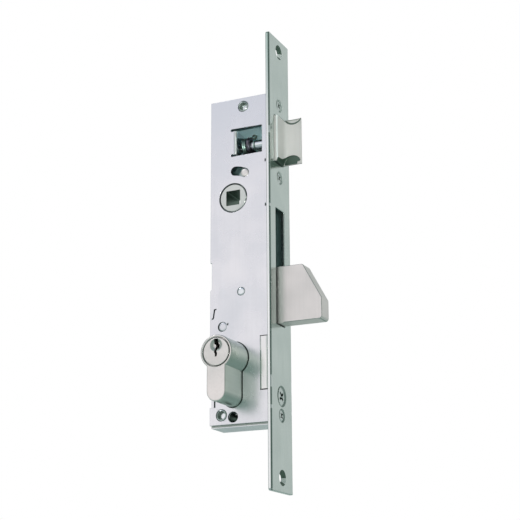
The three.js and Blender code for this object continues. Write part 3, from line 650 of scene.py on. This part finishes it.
def make_flap():
    """The window's flap: the sheet turns in through a rounded bend, with a notch for the rod and spring."""
    edge, thick, gap = WINDOW_X[0], 1.3, 0.95
    depth = span("case_cover", "y")[1]
    outer = arc((edge - FLAP_BEND, CASE_NEAR + FLAP_BEND), FLAP_BEND, -90, 0, 10)
    profile = outer + [(edge, depth), (edge - thick, depth), (edge - thick, CASE_NEAR + SHEET),
                       (edge - FLAP_BEND, CASE_NEAR + SHEET)]
    low, high = WINDOW_Z[0] + gap, WINDOW_Z[1] - gap
    flap = slab("window_flap", "xy", profile, [], low, high, 0.08)
    notch = rod("notch", "x", (0, 0, LATCH_Z), edge - 3, edge + 2, 5.2)
    room = brick("room", (edge - 3, edge + 2), (-5.5, 9), (low - CLEAR, LATCH_Z + 4))
    flap = finish_piece(cut(flap, notch, room), "case", ZINC, None)
    # painted highlight along the flap's bend
    paint(flap, GLINT, lambda at, normal: at.y < CASE_NEAR + FLAP_BEND and 0.55 < normal.x < 0.9)


def make_strip():
    """The lanced strip: a long tab that stands a little proud of the cover between its two slits."""
    (x0, x1), (z0, z1) = STRIP_X, STRIP_Z
    steps, across, end_ramp, crown, thick = 24, 8, 0.06, 0.36, 0.6
    mesh = bmesh.new()
    rows = []
    for i in range(steps + 1):
        share = i / steps
        ramp = min(1, min(share, 1 - share) / end_ramp)
        row = []
        for j in range(across + 1):
            lift = crown * (0.75 + 0.25 * ramp) if 0 < j < across else 0
            at = Vector((x0 + (x1 - x0) * j / across, CASE_NEAR - 0.02 - lift, z0 + (z1 - z0) * share))
            row.append(mesh.verts.new(at * MM))
        rows.append(row)
    for a, b in zip(rows, rows[1:]):
        for j in range(across):
            mesh.faces.new((a[j], a[j + 1], b[j + 1], b[j]))
    geometry = bmesh.ops.extrude_face_region(mesh, geom=mesh.faces[:])
    moved = [v for v in geometry["geom"] if isinstance(v, bmesh.types.BMVert)]
    bmesh.ops.translate(mesh, verts=moved, vec=(0, thick * MM, 0))
    bmesh.ops.recalc_face_normals(mesh, faces=mesh.faces)
    # the strip gets the lighter zinc as a painted highlight
    finish_piece(built("lanced_strip", mesh), "case", ZINC_HIGHLIGHT, None)


# ---------- posts, pins and screws ----------
def make_post(node):
    """Semi-tubular rivet post: a rolled rim round a blind recess on the cover side."""
    x, z = POSTS[node]
    low, high = span(node, "y")
    floor = CASE_NEAR + 2.2
    rim = [(low + 0.5, 1.95), (low + 0.12, 2.12), (low, 2.35), (low + 0.06, 2.6), (low + 0.3, POST_RADIUS)]
    far_end = [(high - 0.2, POST_RADIUS), (high, POST_RADIUS - 0.2), (high, 0)]
    profile = [(floor, 0), (floor, 1.35)] + rim + far_end
    post = finish_piece(turned(node + "_fine", "y", (x, 0, z), profile), "case", BRIGHT, node)
    # painted shade on the walls of the post's recess
    paint(post, NICKEL_SHADE, lambda at, normal: at.y < floor and -0.9 < normal.y < 0.6)
    # painted shade on the post's barrel inside the case
    paint(post, SHADE, lambda at, normal: at.y > CASE_NEAR + SHEET
          and math.hypot(at.x - x, at.z - z) > POST_RADIUS - 0.1)


def make_rivet(node, body, material, radius, crown=0.12):
    """A peened pin end: slightly domed, with a rounded rim."""
    x, z = middle(node, "x"), middle(node, "z")
    low, high = span(node, "y")
    rim, shoulder = crown + 0.12, crown * 0.7
    profile = [(low, 0), (low + 0.02, radius * 0.55), (low + shoulder, radius * 0.88), (low + rim, radius),
               (high - rim, radius), (high - shoulder, radius * 0.88), (high, radius * 0.5), (high, 0)]
    finish_piece(turned(node + "_fine", "y", (x, 0, z), profile), body, material, node)


SCREW_TOP = -0.1
SCREW_DOME = 0.7  # how far the head's edge lies below its top
CROSS_TURN = 40


def screw_profile(low, head, shank):
    """Domed head, cone and turned thread rings, from the top of the head inwards to low."""
    shares = [(0, 0), (0.02, 0.3), (0.08, 0.45), (0.14, 0.55), (0.2, 0.64), (0.28, 0.72), (0.38, 0.8),
              (0.5, 0.87), (0.65, 0.93), (0.8, 0.98), (1.0, 1.0)]
    neck = SCREW_TOP - min(head - shank, -FOREND_BACK - 0.3)
    profile = [(SCREW_TOP - fall * SCREW_DOME, share * head) for fall, share in shares]
    profile.append((neck - 0.5, shank))
    pitch, first, groove = 0.7, neck - 0.6, 0.22
    for i in range(int((first - low) / pitch)):
        start = first - i * pitch
        profile += [(start, shank), (start - 0.35, shank - groove), (start - 0.65, shank)]
    return profile + [(low + 0.4, shank), (low, shank - 0.5), (low, 0)]


def make_screw(node, head, shank, recess):
    """Countersunk screw along x, with a tapered cross recess."""
    z = middle(node, "z")
    screw = turned(node + "_fine", "x", (0, 0, z), screw_profile(span(node, "x")[0], head, shank), 48)
    arm, width, floor = head * 0.52, head * 0.13, SCREW_TOP - recess
    cross = [brick("cross", (floor, CLEAR), (-arm, arm), (z - width, z + width)),
             brick("cross", (floor, CLEAR), (-width, width), (z - arm, z + arm))]
    turn = Matrix.Rotation(math.radians(CROSS_TURN), 4, "X")
    to_centre = Matrix.Translation((0, 0, z * MM))
    for tool in cross:
        tool.data.transform(to_centre @ turn @ to_centre.inverted())
    pit = cone("pit", z, floor, SCREW_TOP + 0.05, head * 0.12, head * 0.33)
    screw = finish_piece(cut(screw, *cross, pit), "case", SCREW, node)
    # painted shade in the cross recess
    paint(screw, SHADE, lambda at, normal: at.x > floor - 0.1 and math.hypot(at.y, at.z - z) < arm + 0.1
          and (normal.x < 0.3 or at.x < floor + 0.3))
    paint_crescent_shadow(screw, z, head)


def paint_crescent_shadow(screw, z, head):
    """A painted shadow: the dark crescent on the cover's side of a screw's head."""
    offset, radius = 0.3 * head, 1.02 * head
    paint(screw, SHADE, lambda at, normal: at.x > SCREW_TOP - 0.75 and normal.x > 0.3
          and math.hypot(at.y - offset, at.z - z) > radius)


# ---------- latch ----------
UPPER_SCOOP = (6.4, 2.3, 5.4)  # centre along x, centre above the head's top, radius
LOWER_SCOOP = (6.0, 0.1, 4.9)  # centre along x, centre above the head's bottom, radius
SCOOP_FLOOR = 3.55


def latch_outline():
    """The head seen from above: a tail, a chamfered lip, a curved hollow and the tip."""
    tail, tip = span("latch_head", "x")
    near, far = span("latch_head", "y")
    hollow = []
    start, control, end = (1.7, -0.8), (2.0, 2.7), (5.6, 2.9)
    steps = 14
    for i in range(steps + 1):
        t = i / steps
        pull = [(1 - t) ** 2, 2 * t * (1 - t), t * t]
        hollow.append(tuple(sum(w * v for w, v in zip(pull, values)) for values in zip(start, control, end)))
    lip = [(1.0, near), (1.55, near + 0.7)]
    return [(tail, near)] + lip + hollow + [(tip, 3.4), (tip, far), (tail, far)]


def make_latch():
    """The head with its two scoops, and what sits behind it on its rod."""
    low, high = span("latch_head", "z")
    near = span("latch_head", "y")[0]
    head = slab("latch_head_fine", "xy", latch_outline(), [], low, high, 0.2, 3)
    upper_x, above, upper_radius = UPPER_SCOOP
    lower_x, raised, lower_radius = LOWER_SCOOP
    scoops = [rod("scoop", "y", (upper_x, 0, high + above), -9, SCOOP_FLOOR, upper_radius, 0.3, 96),
              rod("scoop", "y", (lower_x, 0, low + raised), -9, SCOOP_FLOOR, lower_radius, 0.3, 96)]
    socket = rod("socket", "x", (0, 0, LATCH_Z), span("latch_head", "x")[0] - CLEAR, -2, 1.9)
    head = soften(cut(head, *scoops, socket), 0.16, 2, 50)
    head = finish_piece(head, "latch", LATCH, "latch_head")
    # painted shade on the head's underside and on the scoop walls that face up
    paint(head, SHADE, lambda at, normal: normal.z < -0.25 or (at.x > 1.6 and normal.z > 0.25))
    # painted shade on the lower scoop's wall
    paint(head, SHADE, lambda at, normal: at.z < low + 6 and abs(normal.y) < 0.3
          and abs(math.hypot(at.x - lower_x, at.z - low - raised) - lower_radius) < 0.25)
    # painted highlight along the latch's lip
    paint(head, GLINT, lambda at, normal: at.x < 1.7 and at.y < near + 1
          and normal.x > 0.3 and normal.y < -0.3)
    make_scoop_shades(low, high)
    make_rod()
    make_spring()


def make_scoop_shades(low, high):
    """Thin dark sheets of painted shade on the scoops' floor: all of the lower one but a corner, a crescent
    of the upper one, and a line under the head's top edge.
    """
    lower = (LOWER_SCOOP[0], low + LOWER_SCOOP[1])
    floor = [(1.4, low + 0.2), (8.4, low + 0.2), (8.6, low + 1.4), (10.1, low + 1.7)]
    floor += arc(lower, LOWER_SCOOP[2] - 0.15, 30, 172, 20)
    upper = (UPPER_SCOOP[0], high + UPPER_SCOOP[1])
    crescent = arc(upper, UPPER_SCOOP[2] - 0.1, 210, 330, 20)
    crescent += arc((upper[0], upper[1] + 0.9), UPPER_SCOOP[2] - 0.2, 326, 214, 20)
    top, bottom = high - 0.15, high - 0.45
    lip = [(2.6, bottom), (9.9, bottom), (9.9, top), (2.2, top)]
    loops = {"lower_scoop_shade": floor, "upper_scoop_shade": crescent, "upper_scoop_lip_shade": lip}
    for name, loop in loops.items():
        plate = slab(name, "xz", loop, [], SCOOP_FLOOR - 0.05, SCOOP_FLOOR + 0.07, 0.01)
        finish_piece(plate, "latch", SHADE, None)


def make_rod():
    """The rod with its groove, and its collar and clip."""
    back, front = span("latch_rod", "x")
    shoulder = span("latch_head", "x")[0] - 0.3
    groove_back, groove_front, groove_radius, spigot = -14.0, -13.0, 2.1, 1.6
    profile = [(back, 0), (back, ROD_RADIUS - 0.5), (back + 0.5, ROD_RADIUS), (groove_back, ROD_RADIUS),
               (groove_back + 0.1, groove_radius), (groove_front - 0.1, groove_radius),
               (groove_front, ROD_RADIUS), (shoulder - 0.15, ROD_RADIUS), (shoulder, ROD_RADIUS - 0.15),
               (shoulder, spigot), (front, spigot), (front, 0)]
    bar = turned("latch_rod_fine", "x", (0, 0, LATCH_Z), profile)
    finish_piece(bar, "latch", BRIGHT, "latch_rod")
    low, high = (x - COLLAR_SET_BACK for x in span("latch_rod_collar", "x"))
    collar = ring("rod_collar_fine", "x", (0, 0, LATCH_Z), low, high, 4.9, ROD_RADIUS + 0.3)
    finish_piece(collar, "latch", COLLAR, "latch_rod_collar")
    refined("latch_rod_clip", "latch", SPRING, 0.08)
    ear_at = (middle("latch_rod_clip", "x"), 0, LATCH_Z + 4.2)
    ear = ring("clip_ear", "y", ear_at, -2.2, -1.5, 1.3, 0.75, 0.1)
    # the clip's ear gets the painted-shade colour
    finish_piece(ear, "latch", SHADE, None)


def coil(name, points, radius):
    """Round wire along a list of points."""
    curve = bpy.data.curves.new(name, "CURVE")
    curve.dimensions = "3D"
    spline = curve.splines.new("POLY")
    spline.points.add(len(points) - 1)
    for point, at in zip(spline.points, points):
        point.co = (*[c * MM for c in at], 1)
    curve.bevel_depth, curve.bevel_resolution, curve.use_fill_caps = radius * MM, 4, True
    return baked(name, new_object(name, curve))


def make_spring():
    """Compression spring with closed turns at both ends. It is built at one length here, though the real one
    shortens as the latch slides in.
    """
    low, high = span("latch_spring", "x")
    wire, radius, turns, steps_per_turn = 0.5, 4.1, 5, 32
    low, high = low + wire, high - wire - COLLAR_SET_BACK
    closed_back, closed_front, closed_pitch = 0.8, 1.6, 1.1
    active = turns - closed_back - closed_front
    stretch = high - low - closed_pitch * (closed_back + closed_front)
    points = []
    steps = turns * steps_per_turn
    for i in range(steps + 1):
        turn = turns * i / steps
        share = min(max((turn - closed_back) / active, 0), 1)
        closed = min(turn, closed_back) + max(turn - closed_back - active, 0)
        angle = 2 * math.pi * turn
        points.append((low + closed_pitch * closed + stretch * share, radius * math.cos(angle),
                       LATCH_Z + radius * math.sin(angle)))
    spring = coil("latch_spring_fine", points, wire)
    finish_piece(spring, None, SPRING, "latch_spring")
    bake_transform(spring)


# ---------- follower ----------
def make_follower():
    """The hub with its square socket, turned smooth, and the arm that turns with it."""
    low, high = span("follower", "y")
    rim = 0.3
    profile = [(low, 0), (low, HUB_RADIUS - rim), (low + rim, HUB_RADIUS), (high - rim, HUB_RADIUS),
               (high, HUB_RADIUS - rim), (high, 0)]
    hub = turned("follower_hub_fine", "y", (AXIS_X, 0, 0), profile, 96)
    square = rounded_box(AXIS_X - SQUARE_HALF, AXIS_X + SQUARE_HALF, -SQUARE_HALF, SQUARE_HALF, 0.35, 4)
    socket = slab("socket", "xz", square, [], low - CLEAR, high + CLEAR, 0.01)
    hub = finish_piece(cut(hub, socket), "follower", HUB_NICKEL, None)
    wall = SQUARE_HALF + 0.5
    # painted shade on the walls of the square socket
    paint(hub, SHADE, lambda at, normal: abs(normal.y) < 0.5
          and abs(at.x - AXIS_X) < wall and abs(at.z) < wall)
    arm = new_object("follower_arm_fine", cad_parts["follower"].data.copy())
    core = rod("core", "y", (AXIS_X, 0, 0), -9, 9, HUB_RADIUS + 0.15, 0.01)
    arm = soften(cut(arm, core), 0.2)
    finish_piece(arm, "follower", INNER, "follower")
    make_rivet("follower_stop_pin", "follower", NICKEL, radius=2.05, crown=0.1)


# ---------- bolt ----------
def bolt_outline():
    """The thrown bolt: round hub at its pivot, rounded lower nose and sloping upper edge."""
    x, z = PIVOT
    low, high = span("swing_bolt", "z")
    tip = span("swing_bolt", "x")[1]
    nose_radius, hub_radius = 1.6, 10.4
    nose = arc((tip - nose_radius, low + nose_radius), nose_radius, -90, 0, 6)
    top = [(tip, z - 7.4), (tip - 0.25, z - 6.6), (14.1, high - 0.35), (13.4, high), (x, high)]
    return [(x - 2.6, low)] + nose + top + arc((x, z), hub_radius, 90, 252, 30)


def make_bolt():
    """The swinging bolt, thinner inside the case, with its drive pin and the driver plate."""
    near, far = span("swing_bolt", "y")
    step_far, step_x, face_x, face_step = 2.8, -4.4, 3.3, 0.35
    bolt = slab("swing_bolt_fine", "xz", bolt_outline(), [circle(PIVOT, 2.3)], near, far, 0.3, 3)
    inner = brick("step", (-40, step_x), (step_far, far + CLEAR), (-90, -20))
    front = brick("step", (-40, face_x), (near - CLEAR, near + face_step), (-90, -20))
    bolt = soften(cut(bolt, inner, front), 0.12, 2, 50)
    bolt = finish_piece(bolt, "bolt", NICKEL, "swing_bolt")
    # painted shade on the bolt's near edge rounding outside the forend
    paint(bolt, EDGE_SHADE, lambda at, normal: at.x > 3.5 and 0.2 < -normal.y < 0.96)
    # painted shade on the bolt's underside
    paint(bolt, NICKEL_SHADE, lambda at, normal: at.x > 0.5 and normal.z < -0.9)
    refined("bolt_drive_pin", "bolt", BRIGHT)
    refined("driver_plate", "driver", INNER)


# ---------- cylinder ----------
PLUG_RIM = 7.0
DISH_RISE = 3.2
DISH_RADIUS = 3.35


def make_cylinder():
    """The euro cylinder's body, bored for the plugs, the cam and the fixing screw."""
    half = CYLINDER_HALF
    body = slab("cylinder_body_fine", "xz", euro_outline(), [], -half, half, 0.45, 2)
    centre = (AXIS_X, 0, CYLINDER_Z)
    screw = (0, 0, middle("cylinder_fixing_screw", "z"))
    tools = [turned("counterbore", "y", centre, counterbore_profile(side, half), 96) for side in (-1, 1)]
    tools.append(rod("bore", "y", centre, -half - CLEAR, half + CLEAR, 6.6, 0.01))
    tools.append(rod("cam_room", "y", centre, -5.2, 5.2, 9.0, 0.01))
    tools.append(rod("screw_hole", "x", screw, -40, 0, 2.7, 0.01))
    body = finish_piece(cut(body, *tools), "case", CYLINDER, "cylinder_body")
    # painted light on the cylinder's sides
    paint(body, CYLINDER_SIDE_LIGHT, lambda at, normal: abs(normal.y) < 0.5)
    # the counterbore wall round each plug: dark joint and painted shade
    paint(body, GRIME_AND_SHADE, lambda at, normal: abs(at.y) > half - COUNTERBORE_DEPTH - 0.1
          and math.hypot(at.x - AXIS_X, at.z - CYLINDER_Z) < PLUG_RIM + 0.4 and abs(normal.y) < 0.95)


def counterbore_profile(side, half):
    """The recess round a plug's rim, widened at its mouth."""
    floor, radius, mouth, mouth_radius = half - COUNTERBORE_DEPTH, 7.3, half + 0.02, 7.75
    points = [(floor, 0), (floor, radius), (half - 0.35, radius), (mouth, mouth_radius),
              (half + 2, mouth_radius), (half + 2, 0)]
    return [(side * a, r) for a, r in points]


def keyway_outline():
    """A warded keyhole, from below the plug's axis up to its rim."""
    wards = [(1.0, 6.5), (1.05, 4.2), (1.75, 3.4), (1.5, 1.7), (0.4, 1.1), (0.25, 0.1), (0.7, -0.8),
             (0.45, -2.4), (-0.6, -2.6), (-0.6, -1.2), (-1.05, -0.3), (-0.9, 1.6), (-0.35, 2.5),
             (-0.45, 3.4), (-1.4, 4.1), (-1.0, 6.5)]
    return [(AXIS_X + a, CYLINDER_Z + b) for a, b in wards]


def make_plug(side, body):
    """A plug with a turned face: a rounded rim, a keyhole with wards and a dished lead-in."""
    node = side + "_plug"
    sign = -1 if side == "outer" else 1
    half = CYLINDER_HALF
    back, radius, rim_back = 5.5, 6.3, half - 1.2
    barrel = [(back, 0), (back, radius - 0.2), (back + 0.2, radius), (rim_back, radius)]
    rim = [(rim_back, PLUG_RIM), (half - 0.3, PLUG_RIM), (half - 0.08, PLUG_RIM - 0.15),
           (half, PLUG_RIM - 0.4), (half, 0)]
    outwards = [(sign * a, r) for a, r in barrel + rim]
    plug = turned(node + "_fine", "y", (AXIS_X, 0, CYLINDER_Z), outwards, 96)
    low, high = sorted((sign * 7, sign * (half + CLEAR)))
    keyway = slab("keyway", "xz", keyway_outline(), [], low, high, 0.01)
    dish_z = CYLINDER_Z + DISH_RISE
    floor, mouth = sign * (half - 0.9), sign * (half + 0.1)
    dish_profile = [(floor, 0), (floor, 1.9), (mouth, DISH_RADIUS), (mouth, 0)]
    dish = turned("dish", "y", (AXIS_X, 0, dish_z), dish_profile)
    plug = finish_piece(cut(plug, dish, keyway), body, FACE, node)
    # painted shade on the walls of the dished lead-in
    paint(plug, NICKEL_SHADE, lambda at, normal: abs(at.y) > half - 1 and 0.2 < abs(normal.y) < 0.97
          and math.hypot(at.x - AXIS_X, at.z - dish_z) < DISH_RADIUS + 0.05)


def make_pins():
    """Brass key pins, with a longer taper at the top, and steel driver pins."""
    radius, foot = 1.2, 0.3
    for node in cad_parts:
        key = "_key_pin_" in node
        if not key and "_driver_pin_" not in node:
            continue
        body = "case"
        if key:
            body = "core" if node.startswith("outer") else "inner_core"
        low, high = span(node, "z")
        tip = 0.8 if key else 0.3
        profile = [(low, 0), (low, radius - foot), (low + foot, radius), (high - tip, radius),
                   (high, radius - tip * 0.8), (high, 0)]
        pin = turned(node + "_fine", "z", (AXIS_X, middle(node, "y"), 0), profile, 32)
        finish_piece(pin, body, BRASS if key else BRIGHT, node)


# ---------- stage, light and camera ----------
ROOM_DARK = (0.13, 0.19, 0.175)
FLOOR_Z = -0.30  # in metres, as are the camera's and the lamps' places
# Soft panes of light round the object: direction, angle from it in degrees where full, where gone, colour.
PANES = (
    ((-0.35, -0.74, 0.57), 10, 34, (0.46, 0.51, 0.62)),
    ((0.38, -0.88, 0.24), 9, 25, (0.66, 0.71, 0.68)),
    ((-0.42, -0.90, -0.05), 20, 44, (1.01, 0.99, 1.0)),
    ((0.42, 0.87, 0.22), 26, 54, (0.62, 0.66, 0.65)),
    ((-0.40, 0.87, -0.28), 24, 44, (0.60, 0.72, 0.67)),
)


def make_stage():
    """A pale paper floor that sheds a little light of its own."""
    bpy.ops.mesh.primitive_plane_add(size=6, location=(0, 0, FLOOR_Z))
    floor = bpy.context.object
    floor.name = "floor"
    material, tree, bsdf = shader("floor_paper", (0.86, 0.86, 0.86), 0.7, 0.0)
    grain = noise(tree, 300)
    tree.links.new(spread(tree, grain, 0.62, 0.78), bsdf.inputs["Roughness"])
    bsdf.inputs["Emission Color"].default_value = (0.8, 1.0, 0.9, 1)
    bsdf.inputs["Emission Strength"].default_value = 0.16
    floor.data.materials.append(material)


def make_world():
    """A white backdrop for the camera; the metal mirrors a dark room with soft panes of light."""
    world = bpy.data.worlds.new("studio")
    world.use_nodes = True
    tree = world.node_tree
    tree.nodes.clear()
    place = tree.nodes.new("ShaderNodeTexCoord")
    color = ROOM_DARK
    for direction, inner, outer, tint in PANES:
        facing = tree.nodes.new("ShaderNodeVectorMath")
        facing.operation = "DOT_PRODUCT"
        facing.inputs[1].default_value = Vector(direction).normalized()
        tree.links.new(place.outputs["Generated"], facing.inputs[0])
        limits = [math.cos(math.radians(a)) for a in (outer, inner)]
        color = blend_colors(tree, spread(tree, facing.outputs["Value"], 0, 1, *limits), color, tint)
    room = tree.nodes.new("ShaderNodeBackground")
    tree.links.new(color, room.inputs["Color"])
    backdrop = tree.nodes.new("ShaderNodeBackground")
    backdrop.inputs["Color"].default_value = (1, 1, 1, 1)
    path = tree.nodes.new("ShaderNodeLightPath")
    mixer = tree.nodes.new("ShaderNodeMixShader")
    tree.links.new(path.outputs["Is Camera Ray"], mixer.inputs[0])
    tree.links.new(room.outputs[0], mixer.inputs[1])
    tree.links.new(backdrop.outputs[0], mixer.inputs[2])
    output = tree.nodes.new("ShaderNodeOutputWorld")
    tree.links.new(mixer.outputs[0], output.inputs["Surface"])
    bpy.context.scene.world = world
    bpy.context.scene.view_settings.view_transform = "Standard"


def aim(light, location, target):
    """Places a light and turns it to its target, both in metres."""
    light.location = location
    light.rotation_mode = "QUATERNION"
    light.rotation_quaternion = (Vector(target) - Vector(location)).to_track_quat("-Z", "Y")


def area_light(name, location, target, size, power, color):
    """A square panel of light."""
    data = bpy.data.lights.new(name, "AREA")
    data.energy, data.size, data.color = power, size, color
    aim(new_object(name, data), location, target)


def spot_light(name, location, target, spread_degrees, power, radius):
    """A narrow beam with a soft edge."""
    data = bpy.data.lights.new(name, "SPOT")
    data.energy, data.shadow_soft_size = power, radius
    data.spot_size = math.radians(spread_degrees)
    data.spot_blend = 0.5
    aim(new_object(name, data), location, target)


CAMERA_LENS = 93.91
CAMERA_AT = (0.27007, -0.60552, -0.22734)
CAMERA_RIGHT = (0.90612279, 0.42298632, -0.00490509)
CAMERA_UP = (0.12250209, -0.25129043, 0.9601283)
CAMERA_BACK = (0.40488854, -0.87059502, -0.27951669)


def make_camera():
    """The camera, placed in metres by its position and the directions of its three axes."""
    data = bpy.data.cameras.new("camera")
    data.lens, data.sensor_width = CAMERA_LENS, 36
    data.clip_start, data.clip_end = 0.01, 20
    camera = new_object("camera", data)
    rotation = Matrix((CAMERA_RIGHT, CAMERA_UP, CAMERA_BACK)).transposed().to_4x4()
    camera.matrix_world = Matrix.Translation(CAMERA_AT) @ rotation
    bpy.context.scene.camera = camera


# ---------- assembly ----------
make_forend()
make_cover()
make_tray()
for post in POSTS:
    make_post(post)
make_rivet("bolt_pivot_pin", "case", BRIGHT, radius=2.0)
make_rivet("detent_post", "case", ZINC, radius=2.2, crown=0.08)
for name in SMALL_SCREWS:
    make_screw(name, head=3.1, shank=1.6, recess=1.3)
make_screw("cylinder_fixing_screw", head=4.9, shank=2.4, recess=1.7)
for name in ("bolt_pivot_washer", "bolt_pivot_spacer", "driver_guide_stud_1", "driver_guide_stud_2"):
    refined(name, "case", BRIGHT, width=0.12)
refined("detent_spring", "case", SPRING)
make_latch()
make_follower()
make_bolt()
make_cylinder()
make_plug("outer", "core")
make_plug("inner", "inner_core")
refined("cam", "core", BRIGHT, 0.2)
make_pins()
make_stage()
make_world()
area_light("key", (-0.9, -0.7, 1.1), (-0.01, 0, -0.03), size=0.35, power=2.5, color=(1.0, 0.99, 0.985))
spot_light("latch_snoot", (1.05, -0.65, -0.05), (0.004, -0.002, 0.030),
           spread_degrees=3.0, power=125, radius=0.10)
spot_light("window_snoot", (0.20, -0.62, -0.20), (-0.014, -0.008, 0.030),
           spread_degrees=2.2, power=40, radius=0.03)
make_camera()
